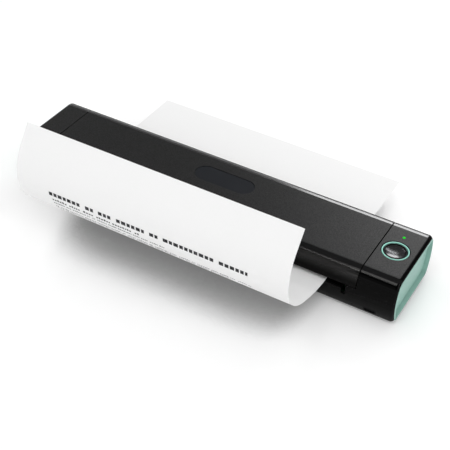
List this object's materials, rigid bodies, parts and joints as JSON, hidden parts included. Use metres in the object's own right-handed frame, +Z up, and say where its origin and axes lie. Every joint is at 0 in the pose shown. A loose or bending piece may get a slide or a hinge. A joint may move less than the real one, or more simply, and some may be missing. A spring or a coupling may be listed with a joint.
{
  "type": "portable thermal printer",
  "caption": "Slim portable A4 thermal printer: hinged cover with platen roller over a tilting thermal head, mint end caps, dished power button, loaded sheet curling out in front.",
  "frame": {"origin": "centre of the printer's footprint, on the floor that its feet stand on", "axes": "+X along the body towards the end with the power button, +Y to the back where the sheet goes in, +Z up; the printed sheet comes out towards -Y"},
  "size_m": [0.3104, 0.1929, 0.0964],
  "materials": {
    "case_black": "fine satin texture",
    "cover_black": "fine matte texture with glossy rounded edges",
    "badge_black": "satin",
    "mint": "smooth satin",
    "button_black": "polished",
    "light_green": "clear green light pipe",
    "foot_rubber": "matte",
    "roller_rubber": "ground",
    "steel": "plain",
    "plated_steel": "zinc plated",
    "aluminium": "extruded",
    "ceramic": "glazed alumina",
    "resin_black": "cast resin",
    "gear_white": "acetal",
    "bush_grey": "acetal",
    "board_green": "solder resist",
    "cell_silver": "laminate pouch",
    "paper": "thermal paper"
  },
  "bodies": {
    "base": {"lower_case": "case_black", "left_end_block": "cover_black", "right_end_block": "cover_black", "left_end_cap": "mint", "right_end_cap": "mint", "front_guide": "case_black", "rear_guide": "case_black", "rubber_feet": "foot_rubber", "case_screws": "steel", "left_side_plate": "plated_steel", "right_side_plate": "plated_steel", "gear_plate": "plated_steel", "motor": "plated_steel", "motor_screws": "steel", "idler_axle": "steel", "plate_screws": "steel", "head_springs": "steel", "battery_cells": "cell_silver", "battery_board": "board_green", "main_board": "board_green", "board_chips": "resin_black", "board_screws": "steel", "usb_socket": "plated_steel", "reset_switch": "plated_steel", "paper_sensor": "resin_black", "button_board": "board_green", "button_board_screws": "steel", "power_switch": "plated_steel", "button_ring": "mint", "status_light": "light_green", "status_led": "gear_white", "paper_sheet": "paper"},
    "cover": {"top_cover": "cover_black", "cover_badge": "badge_black", "cover_frame": "case_black", "cover_screws": "steel", "hinge_pins": "steel", "platen_bushes": "bush_grey"},
    "platen": {"platen_shaft": "steel", "platen_rubber": "roller_rubber", "platen_gear": "gear_white"},
    "idler": {"idler_gear": "gear_white"},
    "pinion": {"motor_pinion": "gear_white", "motor_shaft": "steel"},
    "head": {"heat_sink": "aluminium", "thermal_head": "ceramic", "head_chip_cover": "resin_black", "head_pivot_pins": "steel"},
    "button": {"power_button": "button_black", "switch_plunger": "gear_white"},
    "reset": {"reset_plunger": "gear_white"}
  },
  "joints": [
    {"name": "cover_hinge", "type": "hinge", "parent": "base", "child": "cover", "pos_m": [0, 0.028, 0.0275], "axis": [-1, 0, 0], "range_deg": [0, 75]},
    {"name": "platen_spin", "type": "hinge", "parent": "cover", "child": "platen", "pos_m": [0, -0.008, 0.02475], "axis": [1, 0, 0], "continuous": true},
    {"name": "idler_spin", "type": "hinge", "parent": "base", "child": "idler", "pos_m": [0, -0.00709, 0.01278], "axis": [1, 0, 0], "continuous": true},
    {"name": "pinion_spin", "type": "hinge", "parent": "base", "child": "pinion", "pos_m": [0, 0.00241, 0.01278], "axis": [1, 0, 0], "continuous": true},
    {"name": "head_tilt", "type": "hinge", "parent": "base", "child": "head", "pos_m": [0, -0.0015, 0.0161], "axis": [1, 0, 0], "range_deg": [0, 2.5], "stiffness_Nm_per_rad": 0.3, "springref_deg": -11.46, "deforming": ["head_springs"]},
    {"name": "power_button_press", "type": "slide", "parent": "base", "child": "button", "axis": [0, 0, -1], "range_m": [0, 0.0005], "stiffness_N_per_m": 1500, "springref_m": -0.0003},
    {"name": "reset_press", "type": "slide", "parent": "base", "child": "reset", "axis": [0, 1, 0], "range_m": [0, 0.00025], "stiffness_N_per_m": 200, "springref_m": -0.0002}
  ],
  "couplings": [
    {"joint": "idler_spin", "follows": "platen_spin", "ratio": -0.84615},
    {"joint": "pinion_spin", "follows": "platen_spin", "ratio": 1.8333}
  ]
}
